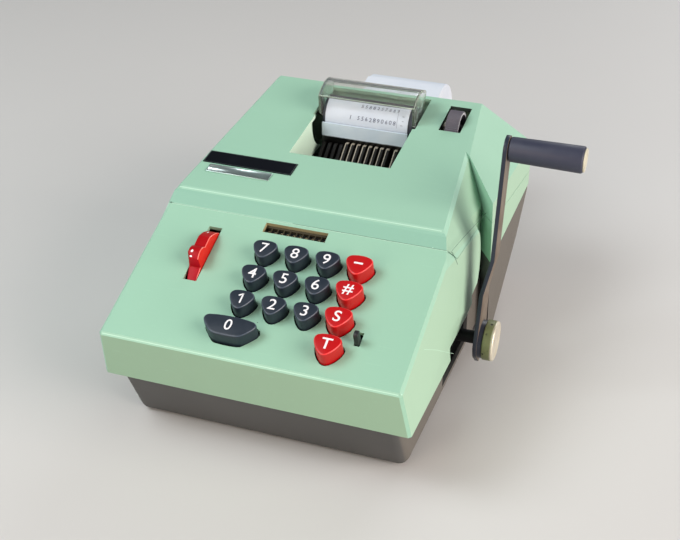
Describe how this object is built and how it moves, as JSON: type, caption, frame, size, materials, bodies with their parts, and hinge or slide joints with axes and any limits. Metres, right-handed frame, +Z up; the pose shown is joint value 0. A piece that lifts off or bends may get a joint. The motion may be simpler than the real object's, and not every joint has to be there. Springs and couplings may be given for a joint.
{
  "type": "adding machine",
  "caption": "Hand-cranked ten-key adding machine with sloping keyboard, printing platen under a clear visor, side crank and rear paper roll.",
  "frame": {"origin": "on the table, in the middle of the whole outline seen from above, crank grip and paper roll included", "axes": "+X to the right, the crank side; +Y towards the rear with the paper roll; +Z up"},
  "size_m": [0.2519, 0.3406, 0.1643],
  "materials": {
    "casing_paint": "smooth semi-gloss seafoam green enamel",
    "base_paint": "fine-textured dark grey enamel",
    "foot_rubber": "matt black rubber",
    "key_black": "satin blue-charcoal moulding with white figure",
    "key_red": "satin red moulding with white sign",
    "lever_red": "satin red moulding",
    "tab_black": "matt black moulding",
    "inner_steel": "plain steel, light oil film",
    "bezel_brass": "dull brass",
    "wheel_black": "black wheel with pale figures",
    "platen_rubber": "matt black rubber",
    "thumb_plastic": "grey moulding with fine grooves",
    "clear_plastic": "clear, slightly smoky acrylic",
    "paper": "matt white paper",
    "core_plastic": "plain grey-brown moulding",
    "guide_plastic": "milky plastic",
    "type_steel": "bright edges on dark steel",
    "spool_metal": "blackened steel",
    "bush_brass": "turned brass",
    "arm_steel": "dark blue-grey lacquered steel",
    "ring_olive": "olive ring with fine pits",
    "cap_steel": "turned cream-coloured cap",
    "grip_plastic": "satin dark grey-violet moulding",
    "label_dark": "bare dark anodised plate",
    "badge_metal": "bare bright strip"
  },
  "bodies": {
    "machine": {"lower_casing": "casing_paint", "top_cover": "casing_paint", "base_tub": "base_paint", "rubber_feet": "foot_rubber", "keyboard_plate": "inner_steel", "side_frame_left": "inner_steel", "side_frame_right": "inner_steel", "tie_rods": "inner_steel", "type_bar_comb": "inner_steel", "number_shaft": "inner_steel", "roll_bracket": "inner_steel", "window_bezel": "bezel_brass", "paper_strip": "paper", "roll_spindle": "core_plastic", "paper_guide": "guide_plastic", "crank_bush": "bush_brass", "label_plate": "label_dark", "badge_strip": "badge_metal"},
    "key_0": {"key_0": "key_black"},
    "key_1": {"key_1": "key_black"},
    "key_2": {"key_2": "key_black"},
    "key_3": {"key_3": "key_black"},
    "key_4": {"key_4": "key_black"},
    "key_5": {"key_5": "key_black"},
    "key_6": {"key_6": "key_black"},
    "key_7": {"key_7": "key_black"},
    "key_8": {"key_8": "key_black"},
    "key_9": {"key_9": "key_black"},
    "key_minus": {"key_minus": "key_red"},
    "key_number": {"key_number": "key_red"},
    "key_subtotal": {"key_subtotal": "key_red"},
    "key_total": {"key_total": "key_red"},
    "red_lever": {"red_lever": "lever_red"},
    "tab_lever": {"tab_lever": "tab_black"},
    "number_wheel_1": {"number_wheel_1": "wheel_black"},
    "number_wheel_2": {"number_wheel_2": "wheel_black"},
    "number_wheel_3": {"number_wheel_3": "wheel_black"},
    "number_wheel_4": {"number_wheel_4": "wheel_black"},
    "number_wheel_5": {"number_wheel_5": "wheel_black"},
    "number_wheel_6": {"number_wheel_6": "wheel_black"},
    "number_wheel_7": {"number_wheel_7": "wheel_black"},
    "number_wheel_8": {"number_wheel_8": "wheel_black"},
    "number_wheel_9": {"number_wheel_9": "wheel_black"},
    "number_wheel_10": {"number_wheel_10": "wheel_black"},
    "platen": {"platen_roller": "platen_rubber", "platen_shaft": "inner_steel", "thumbwheel": "thumb_plastic"},
    "hood": {"hood": "clear_plastic"},
    "roll": {"paper_roll": "paper", "roll_core": "core_plastic"},
    "type_bars": {"type_bars": "type_steel"},
    "spool_left": {"ribbon_spool_left": "spool_metal"},
    "spool_right": {"ribbon_spool_right": "spool_metal"},
    "crank": {"crank_shaft": "inner_steel", "drive_sector": "inner_steel", "crank_arm": "arm_steel", "crank_ring": "ring_olive", "crank_cap": "cap_steel", "grip_pin": "arm_steel"},
    "grip": {"crank_grip": "grip_plastic"}
  },
  "joints": [
    {"name": "key_0_press", "type": "slide", "parent": "machine", "child": "key_0", "axis": [0, 0.315, -0.9491], "range_m": [0, 0.004], "stiffness_N_per_m": 150, "springref_m": -0.003},
    {"name": "key_1_press", "type": "slide", "parent": "machine", "child": "key_1", "axis": [0, 0.315, -0.9491], "range_m": [0, 0.004], "stiffness_N_per_m": 150, "springref_m": -0.003},
    {"name": "key_2_press", "type": "slide", "parent": "machine", "child": "key_2", "axis": [0, 0.315, -0.9491], "range_m": [0, 0.004], "stiffness_N_per_m": 150, "springref_m": -0.003},
    {"name": "key_3_press", "type": "slide", "parent": "machine", "child": "key_3", "axis": [0, 0.315, -0.9491], "range_m": [0, 0.004], "stiffness_N_per_m": 150, "springref_m": -0.003},
    {"name": "key_4_press", "type": "slide", "parent": "machine", "child": "key_4", "axis": [0, 0.315, -0.9491], "range_m": [0, 0.004], "stiffness_N_per_m": 150, "springref_m": -0.003},
    {"name": "key_5_press", "type": "slide", "parent": "machine", "child": "key_5", "axis": [0, 0.315, -0.9491], "range_m": [0, 0.004], "stiffness_N_per_m": 150, "springref_m": -0.003},
    {"name": "key_6_press", "type": "slide", "parent": "machine", "child": "key_6", "axis": [0, 0.315, -0.9491], "range_m": [0, 0.004], "stiffness_N_per_m": 150, "springref_m": -0.003},
    {"name": "key_7_press", "type": "slide", "parent": "machine", "child": "key_7", "axis": [0, 0.315, -0.9491], "range_m": [0, 0.004], "stiffness_N_per_m": 150, "springref_m": -0.003},
    {"name": "key_8_press", "type": "slide", "parent": "machine", "child": "key_8", "axis": [0, 0.315, -0.9491], "range_m": [0, 0.004], "stiffness_N_per_m": 150, "springref_m": -0.003},
    {"name": "key_9_press", "type": "slide", "parent": "machine", "child": "key_9", "axis": [0, 0.315, -0.9491], "range_m": [0, 0.004], "stiffness_N_per_m": 150, "springref_m": -0.003},
    {"name": "key_minus_press", "type": "slide", "parent": "machine", "child": "key_minus", "axis": [0, 0.315, -0.9491], "range_m": [0, 0.004], "stiffness_N_per_m": 150, "springref_m": -0.003},
    {"name": "key_number_press", "type": "slide", "parent": "machine", "child": "key_number", "axis": [0, 0.315, -0.9491], "range_m": [0, 0.004], "stiffness_N_per_m": 150, "springref_m": -0.003},
    {"name": "key_subtotal_press", "type": "slide", "parent": "machine", "child": "key_subtotal", "axis": [0, 0.315, -0.9491], "range_m": [0, 0.004], "stiffness_N_per_m": 150, "springref_m": -0.003},
    {"name": "key_total_press", "type": "slide", "parent": "machine", "child": "key_total", "axis": [0, 0.315, -0.9491], "range_m": [0, 0.004], "stiffness_N_per_m": 150, "springref_m": -0.003},
    {"name": "red_lever_slide", "type": "slide", "parent": "machine", "child": "red_lever", "axis": [0, 0.9491, 0.315], "range_m": [0, 0.0026]},
    {"name": "tab_lever_slide", "type": "slide", "parent": "machine", "child": "tab_lever", "axis": [0, 0.9491, 0.315], "range_m": [0, 0.004]},
    {"name": "number_wheel_1_spin", "type": "hinge", "parent": "machine", "child": "number_wheel_1", "pos_m": [-0.0504, -0.07598, 0.09637], "axis": [1, 0, 0], "continuous": true},
    {"name": "number_wheel_2_spin", "type": "hinge", "parent": "machine", "child": "number_wheel_2", "pos_m": [-0.0465, -0.07598, 0.09637], "axis": [1, 0, 0], "continuous": true},
    {"name": "number_wheel_3_spin", "type": "hinge", "parent": "machine", "child": "number_wheel_3", "pos_m": [-0.0426, -0.07598, 0.09637], "axis": [1, 0, 0], "continuous": true},
    {"name": "number_wheel_4_spin", "type": "hinge", "parent": "machine", "child": "number_wheel_4", "pos_m": [-0.0387, -0.07598, 0.09637], "axis": [1, 0, 0], "continuous": true},
    {"name": "number_wheel_5_spin", "type": "hinge", "parent": "machine", "child": "number_wheel_5", "pos_m": [-0.0348, -0.07598, 0.09637], "axis": [1, 0, 0], "continuous": true},
    {"name": "number_wheel_6_spin", "type": "hinge", "parent": "machine", "child": "number_wheel_6", "pos_m": [-0.0309, -0.07598, 0.09637], "axis": [1, 0, 0], "continuous": true},
    {"name": "number_wheel_7_spin", "type": "hinge", "parent": "machine", "child": "number_wheel_7", "pos_m": [-0.027, -0.07598, 0.09637], "axis": [1, 0, 0], "continuous": true},
    {"name": "number_wheel_8_spin", "type": "hinge", "parent": "machine", "child": "number_wheel_8", "pos_m": [-0.0231, -0.07598, 0.09637], "axis": [1, 0, 0], "continuous": true},
    {"name": "number_wheel_9_spin", "type": "hinge", "parent": "machine", "child": "number_wheel_9", "pos_m": [-0.0192, -0.07598, 0.09637], "axis": [1, 0, 0], "continuous": true},
    {"name": "number_wheel_10_spin", "type": "hinge", "parent": "machine", "child": "number_wheel_10", "pos_m": [-0.0153, -0.07598, 0.09637], "axis": [1, 0, 0], "continuous": true},
    {"name": "platen_spin", "type": "hinge", "parent": "machine", "child": "platen", "pos_m": [-0.02865, 0.0585, 0.11899], "axis": [1, 0, 0], "continuous": true},
    {"name": "hood_hinge", "type": "hinge", "parent": "machine", "child": "hood", "pos_m": [-0.02865, 0.0585, 0.11899], "axis": [-1, 0, 0], "range_deg": [0, 50]},
    {"name": "roll_spin", "type": "hinge", "parent": "machine", "child": "roll", "pos_m": [-0.03015, 0.1405, 0.081], "axis": [1, 0, 0], "continuous": true},
    {"name": "crank_pull", "type": "hinge", "parent": "machine", "child": "crank", "pos_m": [0.07135, -0.0515, 0.037], "axis": [1, 0, 0], "range_deg": [0, 78], "stiffness_Nm_per_rad": 0.15, "springref_deg": -28.65},
    {"name": "grip_spin", "type": "hinge", "parent": "crank", "child": "grip", "pos_m": [0.10135, -0.02958, 0.15641], "axis": [1, 0, 0], "continuous": true},
    {"name": "type_bars_lift", "type": "slide", "parent": "machine", "child": "type_bars", "axis": [0, 0, 1], "range_m": [0, 0.006]},
    {"name": "spool_left_spin", "type": "hinge", "parent": "machine", "child": "spool_left", "pos_m": [-0.08015, 0.032, 0.096], "axis": [0, 0, 1], "continuous": true},
    {"name": "spool_right_spin", "type": "hinge", "parent": "machine", "child": "spool_right", "pos_m": [0.02285, 0.032, 0.096], "axis": [0, 0, 1], "continuous": true}
  ],
  "couplings": [
    {"joint": "type_bars_lift", "follows": "crank_pull", "m_per_rad": 0.004402},
    {"joint": "spool_right_spin", "follows": "spool_left_spin", "ratio": 1}
  ]
}
